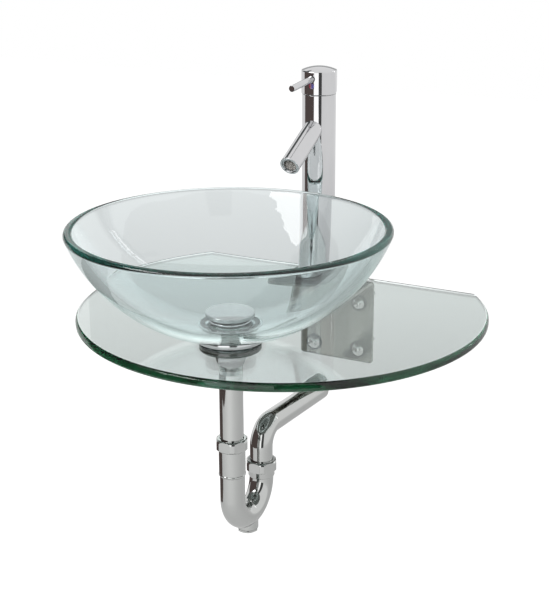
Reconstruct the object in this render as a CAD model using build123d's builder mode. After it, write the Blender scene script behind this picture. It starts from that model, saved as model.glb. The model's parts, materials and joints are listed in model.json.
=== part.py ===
from build123d import *
import os
from math import cos, radians, sin, sqrt, tan

# Wall-hung glass vessel sink: bowl on a glass shelf, single-lever faucet, push drain and trap.
# Millimetres. X runs along the wall, +Y into the wall, +Z up. The origin is the centre of the four
# wall screws on the wall's face, so the wall is y = 0 and the basin stands out towards -Y.

os.makedirs("parts", exist_ok=True)

# ---------------------------------------------------------------- driving dimensions
shelf_radius = 286.5
shelf_centre_y = -185.0
shelf_thickness = 12.0
shelf_top = 87.0
shelf_under = shelf_top - shelf_thickness
wall_gap = 1.0
polish_radius = 5.0

bowl_y = -332.0
bowl_sphere = 225.7
bowl_wall = 12.0
bowl_centre_z = shelf_top + 232.0
rim_z = shelf_top + 154.7
rim_polish = 4.5
drain_hole_radius = 22.5
bowl_floor_radius = 34.0

column_y = -70.0
column_radius = 24.0
column_top = shelf_top + 283.0
faucet_hole_radius = 17.5

spout_radius = 14.0
spout_drop = 27.4
spout_reach = 92.0
spout_root_z = shelf_top + 244.8

cap_radius = 25.1
cap_bottom = column_top + 1.0
cap_top = shelf_top + 316.0
cap_dome = 5.5
cap_round = 2.0
lift_range = 20.0
pivot_z = column_top + 2.0
lever_radius = 4.5
lever_reach = 60.0
lever_drop = 4.0
lever_z = shelf_top + 307.5
dot_z = shelf_top + 296.5

tube_radius = 16.0
tube_wall = 1.2
trap_leg_y = bowl_y + 83.0
bend_centre_z = -142.5
arm_root_z = -71.6
arm_end_y = -63.4
arm_bend = 28.0
arm_drop = 2.7

plate_width = 120.0
plate_thickness = 5.0
plate_bottom = -57.0
pad_thickness = 1.0
leg_depth = 110.0
bolt_spacing = 74.0
bolt_radius = 4.0
bolt_shoulder = 4.25

cap_travel = 4.0

# ---------------------------------------------------------------- shared places and helpers
bowl_axis = Axis((0, bowl_y, 0), (0, 0, 1))
bowl_section = Plane((0, bowl_y, 0), x_dir=(1, 0, 0), z_dir=(0, -1, 0))
column_axis = Axis((0, column_y, 0), (0, 0, 1))
column_section = Plane((0, column_y, 0), x_dir=(1, 0, 0), z_dir=(0, -1, 0))


def sphere_z(radius, r):
    """Height of the lower half of a bowl sphere at distance r from its axis."""
    return bowl_centre_z - sqrt(radius**2 - r**2)


def sphere_arc(radius, r_start, r_end):
    """Arc of a bowl sphere's lower half between two distances from its axis."""
    r_mid = (r_start + r_end) / 2
    return ThreePointArc(
        (r_start, sphere_z(radius, r_start)),
        (r_mid, sphere_z(radius, r_mid)),
        (r_end, sphere_z(radius, r_end)),
    )


def dome_arc(r_edge, z_edge, rise):
    """Arc from an edge to the axis, centred on the axis so that it revolves into a sphere's cap."""
    radius = (r_edge**2 + rise**2) / (2 * rise)
    centre = z_edge + rise - radius
    z_mid = centre + sqrt(radius**2 - r_edge**2 / 4) * (1 if rise > 0 else -1)
    return ThreePointArc((r_edge, z_edge), (r_edge / 2, z_mid), (0, z_edge + rise))


def tube(y, z_low, z_high, outer, inner):
    """Upright ring or tube on the symmetry plane."""
    with BuildPart() as ring:
        with BuildSketch(Plane((0, y, z_low))):
            Circle(outer)
            Circle(inner, mode=Mode.SUBTRACT)
        extrude(amount=z_high - z_low)
    return ring


# ---------------------------------------------------------------- glass shelf
with BuildPart() as glass_shelf:
    with BuildSketch(Plane.XY.offset(shelf_under)) as outline:
        with Locations((0, shelf_centre_y)):
            Circle(shelf_radius)
        with Locations((0, -wall_gap)):
            Rectangle(
                2 * shelf_radius, 2 * shelf_radius, align=(Align.CENTER, Align.MAX), mode=Mode.INTERSECT
            )
        fillet(outline.vertices(), polish_radius + 1)
    extrude(amount=shelf_thickness)
    outer_edges = glass_shelf.faces().filter_by(Axis.Z).edges()
    fillet(outer_edges, polish_radius)
    with Locations((0, bowl_y, shelf_top)):
        Hole(drain_hole_radius)
    with Locations((0, column_y, shelf_top)):
        Hole(faucet_hole_radius)
glass_shelf.part.label = "glass_shelf"
export_step(glass_shelf.part, "parts/glass_shelf.step")

# ---------------------------------------------------------------- glass bowl
inner_sphere = bowl_sphere - bowl_wall
rim_drop = bowl_centre_z - rim_z
rim_outer = sqrt(bowl_sphere**2 - rim_drop**2)
rim_inner = sqrt(inner_sphere**2 - rim_drop**2)
bowl_foot_z = sphere_z(bowl_sphere, drain_hole_radius)
bowl_floor_z = sphere_z(inner_sphere, bowl_floor_radius)
with BuildPart() as glass_bowl:
    with BuildSketch(bowl_section) as bowl_profile:
        with BuildLine():
            sphere_arc(bowl_sphere, drain_hole_radius, rim_outer)
            Line((rim_outer, rim_z), (rim_inner, rim_z))
            sphere_arc(inner_sphere, rim_inner, bowl_floor_radius)
            Line((bowl_floor_radius, bowl_floor_z), (drain_hole_radius, bowl_floor_z))
            Line((drain_hole_radius, bowl_floor_z), (drain_hole_radius, bowl_foot_z))
        make_face()
        fillet(bowl_profile.vertices().group_by(Axis.Y)[-1], rim_polish)
    revolve(axis=bowl_axis)
glass_bowl.part.label = "glass_bowl"
export_step(glass_bowl.part, "parts/glass_bowl.step")

# ---------------------------------------------------------------- mounting ring and its gaskets
ring_radius = 46.0
ring_bore = 31.0
seat_radius = 38.0
seat_slope = seat_radius / sqrt(bowl_sphere**2 - seat_radius**2)
seat_z = sphere_z(bowl_sphere, seat_radius)
gasket_thickness = 1.6
gasket_inner = 34.0
gasket_outer = 42.0


def seat_line(r, below=0.0):
    """Point on the cone that touches the bowl at seat_radius, or below it."""
    return (r, seat_z + seat_slope * (r - seat_radius) - below)


with BuildPart() as bowl_gasket:
    with BuildSketch(bowl_section):
        with BuildLine():
            Polyline(
                seat_line(gasket_inner),
                seat_line(gasket_outer),
                seat_line(gasket_outer, gasket_thickness),
                seat_line(gasket_inner, gasket_thickness),
                close=True,
            )
        make_face()
    revolve(axis=bowl_axis)
bowl_gasket.part.label = "bowl_gasket"
export_step(bowl_gasket.part, "parts/bowl_gasket.step")

ring_foot_z = shelf_top + 0.5
groove_z = shelf_top + 1.5
groove_inner = 33.0
groove_outer = 40.0
lip_z = shelf_top + 8.6
lip_radius = ring_radius - 0.5
lip_inner = gasket_outer + 0.1
foot_radius = ring_radius - 2.5
ring_waist_z = (ring_foot_z + lip_z) / 2 + 0.5
with BuildPart() as bowl_ring:
    with BuildSketch(bowl_section):
        with BuildLine():
            Polyline(
                (lip_radius, lip_z),
                (lip_inner, lip_z),
                seat_line(lip_inner, gasket_thickness),
                seat_line(ring_bore, gasket_thickness),
                (ring_bore, ring_foot_z),
                (groove_inner, ring_foot_z),
                (groove_inner, groove_z),
                (groove_outer, groove_z),
                (groove_outer, ring_foot_z),
                (foot_radius, ring_foot_z),
            )
            ThreePointArc((foot_radius, ring_foot_z), (ring_radius, ring_waist_z), (lip_radius, lip_z))
        make_face()
    revolve(axis=bowl_axis)
bowl_ring.part.label = "bowl_ring"
export_step(bowl_ring.part, "parts/bowl_ring.step")

ring_gasket = tube(bowl_y, shelf_top, groove_z, groove_outer - 0.2, groove_inner + 0.2)
ring_gasket.part.label = "ring_gasket"
export_step(ring_gasket.part, "parts/ring_gasket.step")

# ---------------------------------------------------------------- push drain
flange_radius = 29.0
flange_low = bowl_floor_z + 1.5
flange_top = flange_low + 3.0
flange_edge = 1.5
recess_floor = flange_top - 1.7
recess_radius = 25.0
body_radius = 19.0
shoulder_z = shelf_top + 1.0
throat_radius = tube_radius - tube_wall
tail_top = 64.0
tail_socket = tube_radius + 0.05
body_bottom = 53.0

drain_flange_gasket = tube(
    bowl_y, bowl_floor_z, flange_low, flange_radius - flange_edge, drain_hole_radius + 0.5
)
drain_flange_gasket.part.label = "drain_flange_gasket"
export_step(drain_flange_gasket.part, "parts/drain_flange_gasket.step")

with BuildPart() as drain_body:
    with BuildSketch(bowl_section):
        with BuildLine():
            Polyline(
                (recess_radius + 1, flange_top),
                (flange_radius - flange_edge, flange_top),
                (flange_radius, flange_top - flange_edge),
                (flange_radius, flange_low),
                (body_radius, flange_low),
                (body_radius, body_bottom),
                (tail_socket, body_bottom),
                (tail_socket, tail_top),
                (throat_radius, tail_top),
                (throat_radius, shoulder_z),
                (tube_radius, shoulder_z),
                (tube_radius, recess_floor),
                (recess_radius, recess_floor),
                close=True,
            )
        make_face()
    revolve(axis=bowl_axis)
drain_body.part.label = "drain_body"
export_step(drain_body.part, "parts/drain_body.step")

nut_top = shelf_under - 7.5
drain_shelf_washer = tube(bowl_y, nut_top, shelf_under, 41.0, body_radius + 0.3)
drain_shelf_washer.part.label = "drain_shelf_washer"
export_step(drain_shelf_washer.part, "parts/drain_shelf_washer.step")

nut_bottom = shelf_under - 29.0
nut_thread = body_radius + 0.05
nut_collar = 22.0
nut_barrel = 20.4
nut_mouth = tube_radius + 0.3
collar_bottom = nut_top - 7
with BuildPart() as drain_lock_nut:
    with BuildSketch(bowl_section):
        with BuildLine():
            Polyline(
                (nut_thread, nut_top),
                (nut_collar, nut_top),
                (nut_collar, collar_bottom),
                (nut_barrel, body_bottom),
                (nut_mouth + 1.1, nut_bottom),
                (nut_mouth, nut_bottom),
                (nut_mouth, body_bottom - 1),
                (nut_thread, body_bottom - 1),
                close=True,
            )
        make_face()
    revolve(axis=bowl_axis)
drain_lock_nut.part.label = "drain_lock_nut"
export_step(drain_lock_nut.part, "parts/drain_lock_nut.step")

stem_radius = 3.0
barrel_radius = 8.0
barrel_bore = 6.3
barrel_low = shoulder_z - 8
barrel_floor = barrel_low + 4
barrel_top = barrel_floor + 20
guide_height = 3.0
with BuildPart() as drain_guide:
    with BuildSketch(Plane((0, bowl_y, shoulder_z))):
        Circle(tube_radius - 0.02)
        Circle(tube_radius - 2, mode=Mode.SUBTRACT)
    extrude(amount=guide_height)
    with BuildSketch(Plane((0, bowl_y, shoulder_z))):
        with PolarLocations(11, 3):
            Rectangle(8, 2)
    extrude(amount=guide_height)
    with BuildSketch(Plane((0, bowl_y, barrel_low))):
        Circle(barrel_radius)
    extrude(amount=barrel_top - barrel_low)
    with BuildSketch(Plane((0, bowl_y, barrel_floor))):
        Circle(barrel_bore)
    extrude(amount=barrel_top - barrel_floor, mode=Mode.SUBTRACT)
    with BuildSketch(Plane((0, bowl_y, barrel_low))):
        Circle(stem_radius + 0.05)
    extrude(amount=barrel_floor - barrel_low, mode=Mode.SUBTRACT)
drain_guide.part.label = "drain_guide"
export_step(drain_guide.part, "parts/drain_guide.step")

cap_low = flange_top + 0.3 + cap_travel
cap_side = 6.5
cap_high = cap_low + cap_side
cap_edge = 1.5
cap_socket = cap_low + 4.0
drain_cap_radius = 33.0
with BuildPart() as drain_cap:
    with BuildSketch(bowl_section) as mushroom:
        with BuildLine():
            Polyline(
                (0, cap_high + 1),
                (0, cap_socket),
                (stem_radius, cap_socket),
                (stem_radius, cap_low),
                (drain_cap_radius - cap_edge, cap_low),
                (drain_cap_radius, cap_low + cap_edge),
                (drain_cap_radius, cap_high - cap_edge),
                (drain_cap_radius - cap_edge, cap_high),
            )
            dome_arc(drain_cap_radius - cap_edge, cap_high, 1)
        make_face()
    revolve(axis=bowl_axis)
drain_cap.part.label = "drain_cap"
export_step(drain_cap.part, "parts/drain_cap.step")

drain_cap_seal = tube(bowl_y, cap_low - 1.5, cap_low, recess_radius - 1, 20.0)
drain_cap_seal.part.label = "drain_cap_seal"
export_step(drain_cap_seal.part, "parts/drain_cap_seal.step")

collar_low = barrel_top - 3
collar_radius = barrel_bore - 0.4
foot_top = barrel_low - 0.2
foot_low = foot_top - 2.5
stem_foot = 4.5
with BuildPart() as drain_stem:
    with BuildSketch(bowl_section):
        with BuildLine():
            Polyline(
                (0, foot_low),
                (stem_foot, foot_low),
                (stem_foot, foot_top),
                (stem_radius, foot_top),
                (stem_radius, collar_low),
                (collar_radius, collar_low),
                (collar_radius, collar_low + 2),
                (stem_radius, collar_low + 2),
                (stem_radius, cap_socket),
                (0, cap_socket),
                close=True,
            )
        make_face()
    revolve(axis=bowl_axis)
drain_stem.part.label = "drain_stem"
export_step(drain_stem.part, "parts/drain_stem.step")

spring_wire = 0.6
spring_coil = 4.8
spring_turns = 5
spring_height = collar_low - barrel_floor - 2 * spring_wire
with BuildPart() as drain_spring:
    with BuildLine(Plane((0, bowl_y, barrel_floor + spring_wire))) as coil:
        Helix(pitch=spring_height / spring_turns, height=spring_height, radius=spring_coil)
    with BuildSketch(Plane(origin=coil.wire() @ 0, z_dir=coil.wire() % 0)):
        Circle(spring_wire)
    sweep(path=coil.wire(), is_frenet=True)
drain_spring.part.label = "drain_spring"
export_step(drain_spring.part, "parts/drain_spring.step")

tail_bottom = -92.0
drain_tailpiece = tube(bowl_y, tail_bottom, tail_top, tube_radius, throat_radius)
drain_tailpiece.part.label = "drain_tailpiece"
export_step(drain_tailpiece.part, "parts/drain_tailpiece.step")

# ---------------------------------------------------------------- trap
inlet_nut_top = -52.0
outlet_nut_top = -117.0
slip_nut_height = 15.0
slip_thread = 19.4
slip_nut_flats = 41.6
slip_nut_radius = 22.4
slip_bore = slip_thread + 0.1
socket_bore = tube_radius + 0.4
bend_radius = 17.0
lip = 3.0
washer_height = 3.0


def slip_nut(y, z_top):
    """Six-sided slip nut with rounded shoulders and a lip that presses on its washer."""
    z_low = z_top - slip_nut_height
    with BuildPart() as nut:
        with BuildSketch(Plane((0, y, z_low))):
            RegularPolygon(slip_nut_flats / 2, 6, major_radius=False)
        extrude(amount=slip_nut_height)
        with BuildSketch(Plane((0, y, 0), x_dir=(1, 0, 0), z_dir=(0, -1, 0))) as turned:
            with BuildLine():
                Polyline(
                    (socket_bore, z_top),
                    (slip_nut_radius, z_top),
                    (slip_nut_radius, z_low),
                    (slip_bore, z_low),
                    (slip_bore, z_top - lip),
                    (socket_bore, z_top - lip),
                    close=True,
                )
            make_face()
            outer = turned.vertices().group_by(Axis.X)[-1]
            fillet(outer.sort_by(Axis.Y)[-1], 4)
            chamfer(turned.vertices().group_by(Axis.X)[-1].sort_by(Axis.Y)[0], 1)
        revolve(axis=Axis((0, y, 0), (0, 0, 1)), mode=Mode.INTERSECT)
    return nut


trap_inlet_nut = slip_nut(bowl_y, inlet_nut_top)
trap_inlet_nut.part.label = "trap_inlet_nut"
export_step(trap_inlet_nut.part, "parts/trap_inlet_nut.step")

trap_outlet_nut = slip_nut(trap_leg_y, outlet_nut_top)
trap_outlet_nut.part.label = "trap_outlet_nut"
export_step(trap_outlet_nut.part, "parts/trap_outlet_nut.step")

inlet_socket_top = inlet_nut_top - lip - washer_height
outlet_socket_top = outlet_nut_top - lip - washer_height
slip_washer = slip_thread - 0.2
trap_inlet_washer = tube(bowl_y, inlet_socket_top, inlet_nut_top - lip, slip_washer, tail_socket)
trap_inlet_washer.part.label = "trap_inlet_washer"
export_step(trap_inlet_washer.part, "parts/trap_inlet_washer.step")

trap_outlet_washer = tube(trap_leg_y, outlet_socket_top, outlet_nut_top - lip, slip_washer, tail_socket)
trap_outlet_washer.part.label = "trap_outlet_washer"
export_step(trap_outlet_washer.part, "parts/trap_outlet_washer.step")

turn_radius = (trap_leg_y - bowl_y) / 2
bend_mid_y = (trap_leg_y + bowl_y) / 2
boss_bottom = bend_centre_z - turn_radius - bend_radius - 3
boss_outer = 15.0
boss_thread = 10.5
socket_wall = 18.0
thread_length = 10.0
inlet_thread_low = inlet_socket_top - thread_length
outlet_thread_low = outlet_socket_top - thread_length
socket_end = -105.0
with BuildLine(Plane.YZ) as bend_path:
    Line((bowl_y, inlet_socket_top), (bowl_y, bend_centre_z))
    ThreePointArc(
        (bowl_y, bend_centre_z), (bend_mid_y, bend_centre_z - turn_radius), (trap_leg_y, bend_centre_z)
    )
    Line((trap_leg_y, bend_centre_z), (trap_leg_y, outlet_socket_top))
bend_start = Plane((0, bowl_y, inlet_socket_top), z_dir=(0, 0, -1))

with BuildPart() as trap_bend:
    with BuildSketch(bend_start):
        Circle(bend_radius)
    sweep(path=bend_path.wire())
    with BuildSketch(Plane((0, bend_mid_y, boss_bottom))):
        Circle(boss_outer)
    extrude(amount=bend_radius)
    with BuildSketch(bowl_section) as inlet_socket:
        with BuildLine():
            Polyline(
                (bend_radius - 1, inlet_socket_top),
                (slip_thread, inlet_socket_top),
                (slip_thread, inlet_thread_low),
                (socket_wall, inlet_thread_low - 1.5),
                (socket_wall, socket_end),
                (bend_radius, socket_end - 2),
                (bend_radius - 1, socket_end - 2),
                close=True,
            )
        make_face()
    revolve(axis=bowl_axis)
    with BuildSketch(Plane((0, trap_leg_y, 0), x_dir=(1, 0, 0), z_dir=(0, -1, 0))):
        with BuildLine():
            Polyline(
                (bend_radius - 1, outlet_socket_top),
                (slip_thread, outlet_socket_top),
                (slip_thread, outlet_thread_low),
                (socket_wall + 0.6, outlet_thread_low - 1.5),
                (socket_wall + 0.6, bend_centre_z + 1.5),
                (bend_radius, bend_centre_z),
                (bend_radius - 1, bend_centre_z),
                close=True,
            )
        make_face()
    revolve(axis=Axis((0, trap_leg_y, 0), (0, 0, 1)))
    with BuildSketch(bend_start):
        Circle(bend_radius - 1.8)
    sweep(path=bend_path.wire(), mode=Mode.SUBTRACT)
    with BuildSketch(Plane((0, bowl_y, socket_end + 5))):
        Circle(socket_bore)
    extrude(amount=inlet_socket_top - socket_end - 5, mode=Mode.SUBTRACT)
    with BuildSketch(Plane((0, trap_leg_y, bend_centre_z + 2.5))):
        Circle(socket_bore)
    extrude(amount=outlet_socket_top - bend_centre_z - 2.5, mode=Mode.SUBTRACT)
    with BuildSketch(Plane((0, bend_mid_y, boss_bottom))):
        Circle(boss_thread)
    extrude(amount=bend_radius, mode=Mode.SUBTRACT)
trap_bend.part.label = "trap_bend"
export_step(trap_bend.part, "parts/trap_bend.step")

plug_seat = boss_bottom - 1.0
plug_hex_height = 3.5
trap_cleanout_gasket = tube(bend_mid_y, plug_seat, boss_bottom, boss_outer - 1, boss_thread + 0.1)
trap_cleanout_gasket.part.label = "trap_cleanout_gasket"
export_step(trap_cleanout_gasket.part, "parts/trap_cleanout_gasket.step")

with BuildPart() as trap_cleanout_plug:
    with BuildSketch(Plane((0, bend_mid_y, plug_seat - plug_hex_height))):
        RegularPolygon(13.4, 6, major_radius=False)
    extrude(amount=plug_hex_height)
    chamfer(trap_cleanout_plug.faces().sort_by(Axis.Z)[0].edges(), 1)
    with BuildSketch(Plane((0, bend_mid_y, plug_seat))):
        Circle(boss_thread - 0.1)
    extrude(amount=9)
trap_cleanout_plug.part.label = "trap_cleanout_plug"
export_step(trap_cleanout_plug.part, "parts/trap_cleanout_plug.step")

arm_low = -136.0
arm_slope = radians(arm_drop)
elbow_z = arm_root_z - arm_bend * cos(arm_slope)
arm_root_y = trap_leg_y + arm_bend * (1 + sin(arm_slope))
arm_end_z = arm_root_z - (arm_end_y - arm_root_y) * tan(arm_slope)
with BuildLine(Plane.YZ) as arm_path:
    Line((trap_leg_y, arm_low), (trap_leg_y, elbow_z))
    RadiusArc((trap_leg_y, elbow_z), (arm_root_y, arm_root_z), arm_bend)
    Line((arm_root_y, arm_root_z), (arm_end_y, arm_end_z))
with BuildPart() as trap_arm:
    with BuildSketch(Plane((0, trap_leg_y, arm_low))):
        Circle(tube_radius)
        Circle(throat_radius, mode=Mode.SUBTRACT)
    sweep(path=arm_path.wire())
trap_arm.part.label = "trap_arm"
export_step(trap_arm.part, "parts/trap_arm.step")

# ---------------------------------------------------------------- wall bracket
leg_top = shelf_under - pad_thickness
leg_under = leg_top - plate_thickness
inner_bend = 5.0
plate_corner = 4.0
leg_corner = 8.0
with BuildPart() as wall_bracket:
    with BuildSketch(Plane.YZ.offset(-plate_width / 2)) as angle:
        with BuildLine():
            Polyline(
                (0, plate_bottom),
                (0, leg_top),
                (-leg_depth, leg_top),
                (-leg_depth, leg_under),
                (-plate_thickness, leg_under),
                (-plate_thickness, plate_bottom),
                close=True,
            )
        make_face()
        inner_corner, outer_corner = angle.vertices().group_by(Axis.X)[-2:]
        fillet(inner_corner.sort_by(Axis.Y)[-1], inner_bend)
        fillet(outer_corner.sort_by(Axis.Y)[-1], inner_bend + plate_thickness)
    extrude(amount=plate_width)
    fillet(wall_bracket.edges().filter_by(Axis.Y).group_by(Axis.Z)[0], plate_corner)
    fillet(wall_bracket.edges().filter_by(Axis.Z).group_by(Axis.Y)[0], leg_corner)
    with BuildSketch(Plane.XZ.offset(-1)):
        with GridLocations(bolt_spacing, bolt_spacing, 2, 2):
            Circle(bolt_radius + 0.5)
    extrude(amount=plate_thickness + 2, mode=Mode.SUBTRACT)
    with Locations((0, column_y, leg_top)):
        Hole(faucet_hole_radius)
wall_bracket.part.label = "wall_bracket"
export_step(wall_bracket.part, "parts/wall_bracket.step")

pad_back_y = -12.0
with BuildPart() as bracket_pad:
    with BuildSketch(Plane.XY.offset(leg_top)):
        with Locations((0, (pad_back_y - leg_depth + 2) / 2)):
            RectangleRounded(plate_width - 4, leg_depth - 2 + pad_back_y, leg_corner - 2)
        with Locations((0, column_y)):
            Circle(faucet_hole_radius, mode=Mode.SUBTRACT)
    extrude(amount=pad_thickness)
bracket_pad.part.label = "bracket_pad"
export_step(bracket_pad.part, "parts/bracket_pad.step")

screw_washer = 1.5
head_radius = 10.0
head_seat = -plate_thickness - screw_washer
with BuildPart() as wall_screw_washers:
    with BuildSketch(Plane.XZ.offset(plate_thickness)):
        with GridLocations(bolt_spacing, bolt_spacing, 2, 2):
            Circle(head_radius + 3)
            Circle(bolt_shoulder + 0.05, mode=Mode.SUBTRACT)
    extrude(amount=screw_washer)
wall_screw_washers.part.label = "wall_screw_washers"
export_step(wall_screw_washers.part, "parts/wall_screw_washers.step")

stud_reach = 50.0
head_height = 6.5
head_edge = head_seat - 1
with BuildPart() as wall_screws:
    for x in (-bolt_spacing / 2, bolt_spacing / 2):
        for z in (-bolt_spacing / 2, bolt_spacing / 2):
            with BuildSketch(Plane((x, 0, z), x_dir=(1, 0, 0), z_dir=(0, 0, 1))):
                with BuildLine():
                    Polyline(
                        (0, head_seat - head_height),
                        (0, stud_reach),
                        (bolt_radius, stud_reach),
                        (bolt_radius, 0),
                        (bolt_shoulder, 0),
                        (bolt_shoulder, head_seat),
                        (head_radius, head_seat),
                        (head_radius, head_edge),
                    )
                    dome_arc(head_radius, head_edge, 1 - head_height)
                make_face()
            revolve(axis=Axis((x, 0, z), (0, 1, 0)))
wall_screws.part.label = "wall_screws"
export_step(wall_screws.part, "parts/wall_screws.step")

# ---------------------------------------------------------------- faucet body
body_low = shelf_top + 1.5
inlet_deck = 15.5
cavity_radius = 20.5
chamber_radius = 18.5
chamber_floor = column_top - 28
deck_low = chamber_floor - 6
shank_radius = 16.5
shank_socket = 6.0
inlet_offset = 6.5
inlet_radius = 5.0
spout_dir = Vector(0, -cos(radians(spout_drop)), -sin(radians(spout_drop)))
spout_length = spout_reach / cos(radians(spout_drop))
spout_plane = Plane((0, column_y, spout_root_z), x_dir=(1, 0, 0), z_dir=spout_dir)
aerator_radius = 11.0
aerator_depth = 14.0
with BuildPart() as faucet_body:
    with BuildSketch(Plane((0, column_y, body_low))):
        Circle(column_radius)
    extrude(amount=column_top - body_low)
    with BuildSketch(spout_plane):
        Circle(spout_radius)
    extrude(amount=spout_length)
    with BuildSketch(Plane((0, column_y, body_low + inlet_deck))):
        Circle(cavity_radius)
    extrude(amount=deck_low - body_low - inlet_deck, mode=Mode.SUBTRACT)
    with BuildSketch(Plane((0, column_y, chamber_floor))):
        Circle(chamber_radius)
    extrude(amount=column_top - chamber_floor, mode=Mode.SUBTRACT)
    with BuildSketch(Plane((0, column_y, deck_low))):
        with PolarLocations(10, 3):
            Circle(3)
    extrude(amount=chamber_floor - deck_low, mode=Mode.SUBTRACT)
    with BuildSketch(spout_plane):
        Circle(aerator_radius - 2)
    extrude(amount=spout_length, mode=Mode.SUBTRACT)
    with BuildSketch(spout_plane.offset(spout_length - aerator_depth)):
        Circle(aerator_radius)
    extrude(amount=aerator_depth, mode=Mode.SUBTRACT)
    with BuildSketch(Plane((0, column_y, body_low))):
        Circle(shank_radius)
    extrude(amount=shank_socket, mode=Mode.SUBTRACT)
    with BuildSketch(Plane((0, column_y, body_low))):
        with GridLocations(2 * inlet_offset, 0, 2, 1):
            Circle(inlet_radius)
    extrude(amount=inlet_deck, mode=Mode.SUBTRACT)
faucet_body.part.label = "faucet_body"
export_step(faucet_body.part, "parts/faucet_body.step")

faucet_base_gasket = tube(column_y, shelf_top, body_low, column_radius - 0.5, shank_radius + 0.3)
faucet_base_gasket.part.label = "faucet_base_gasket"
export_step(faucet_base_gasket.part, "parts/faucet_base_gasket.step")

shank_bottom = shelf_under - 35
shank_bore = 13.5
faucet_shank = tube(column_y, shank_bottom, body_low + shank_socket, shank_radius, shank_bore)
faucet_shank.part.label = "faucet_shank"
export_step(faucet_shank.part, "parts/faucet_shank.step")

shank_washer = tube(column_y, leg_under - 3, leg_under, 26.0, shank_radius + 0.5)
shank_washer.part.label = "shank_washer"
export_step(shank_washer.part, "parts/shank_washer.step")

with BuildPart() as shank_nut:
    with BuildSketch(Plane((0, column_y, leg_under - 13))):
        RegularPolygon(23, 6, major_radius=False)
        Circle(shank_radius + 0.05, mode=Mode.SUBTRACT)
    extrude(amount=10)
shank_nut.part.label = "shank_nut"
export_step(shank_nut.part, "parts/shank_nut.step")

# ---------------------------------------------------------------- cartridge and its moving stem
cartridge_shoulder = chamber_floor + 16
cartridge_top = column_top - 4
well_radius = 11.4
well_floor = column_top - 8
carrier_floor = well_floor + 0.4
ear_base = pivot_z - 4.5
with BuildPart() as cartridge:
    with BuildSketch(column_section):
        with BuildLine():
            Polyline(
                (0, chamber_floor),
                (17.4, chamber_floor),
                (17.4, cartridge_shoulder),
                (15, cartridge_shoulder),
                (15, cartridge_top),
                (well_radius, cartridge_top),
                (well_radius, well_floor),
                (0, well_floor),
                close=True,
            )
        make_face()
    revolve(axis=column_axis)
cartridge.part.label = "cartridge"
export_step(cartridge.part, "parts/cartridge.step")

cartridge_nut = tube(column_y, cartridge_shoulder, column_top - 1, chamber_radius - 0.05, 15.2)
cartridge_nut.part.label = "cartridge_nut"
export_step(cartridge_nut.part, "parts/cartridge_nut.step")

pin_radius = 1.5
ear_inner = 4.4
ear_outer = 8.0
with BuildPart() as cartridge_carrier:
    with BuildSketch(Plane((0, column_y, carrier_floor))):
        Circle(well_radius - 0.4)
    extrude(amount=ear_base - carrier_floor)
    with BuildSketch(Plane((0, column_y, ear_base))):
        with GridLocations(ear_inner + ear_outer, 0, 2, 1):
            Rectangle(ear_outer - ear_inner, 8)
    extrude(amount=pivot_z + 4 - ear_base)
    with BuildSketch(Plane((-ear_outer, column_y, pivot_z), x_dir=(0, 1, 0), z_dir=(1, 0, 0))):
        Circle(pin_radius)
    extrude(amount=2 * ear_outer, mode=Mode.SUBTRACT)
cartridge_carrier.part.label = "cartridge_carrier"
export_step(cartridge_carrier.part, "parts/cartridge_carrier.step")

with BuildPart() as stem_pivot_pin:
    with BuildSketch(Plane((-ear_outer, column_y, pivot_z), x_dir=(0, 1, 0), z_dir=(1, 0, 0))):
        Circle(pin_radius)
    extrude(amount=2 * ear_outer)
stem_pivot_pin.part.label = "stem_pivot_pin"
export_step(stem_pivot_pin.part, "parts/stem_pivot_pin.step")

handle_stem_radius = 4.0
stem_top = cap_top - 7
with BuildPart() as cartridge_stem:
    with Locations((0, column_y, pivot_z)):
        Sphere(handle_stem_radius)
    with BuildSketch(Plane((0, column_y, pivot_z))):
        Circle(handle_stem_radius)
    extrude(amount=stem_top - pivot_z)
    with BuildSketch(Plane((-ear_outer, column_y, pivot_z), x_dir=(0, 1, 0), z_dir=(1, 0, 0))):
        Circle(pin_radius + 0.05)
    extrude(amount=2 * ear_outer, mode=Mode.SUBTRACT)
cartridge_stem.part.label = "cartridge_stem"
export_step(cartridge_stem.part, "parts/cartridge_stem.step")

# ---------------------------------------------------------------- handle
cap_wall = 3.0
cap_ceiling = cap_top - 3.5
boss_radius = 8.0
boss_low = pivot_z + 8
lever_dir = Vector(0, -cos(radians(lever_drop)), -sin(radians(lever_drop)))
lever_root = Vector(0, column_y - boss_radius, lever_z)
lever_plane = Plane(lever_root, x_dir=(1, 0, 0), z_dir=lever_dir)
lever_length = (cap_radius + lever_reach - boss_radius) / cos(radians(lever_drop))
dot_radius = 4.0
screw_radius = 2.5
bevel = radians(lift_range + 1)
bevel_reach = cap_radius + 5
bevel_rise = (bevel_reach * sin(bevel) - 1) / cos(bevel)
front_wall = Plane((0, column_y - boss_radius, dot_z), x_dir=(1, 0, 0), z_dir=(0, -1, 0))

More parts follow.
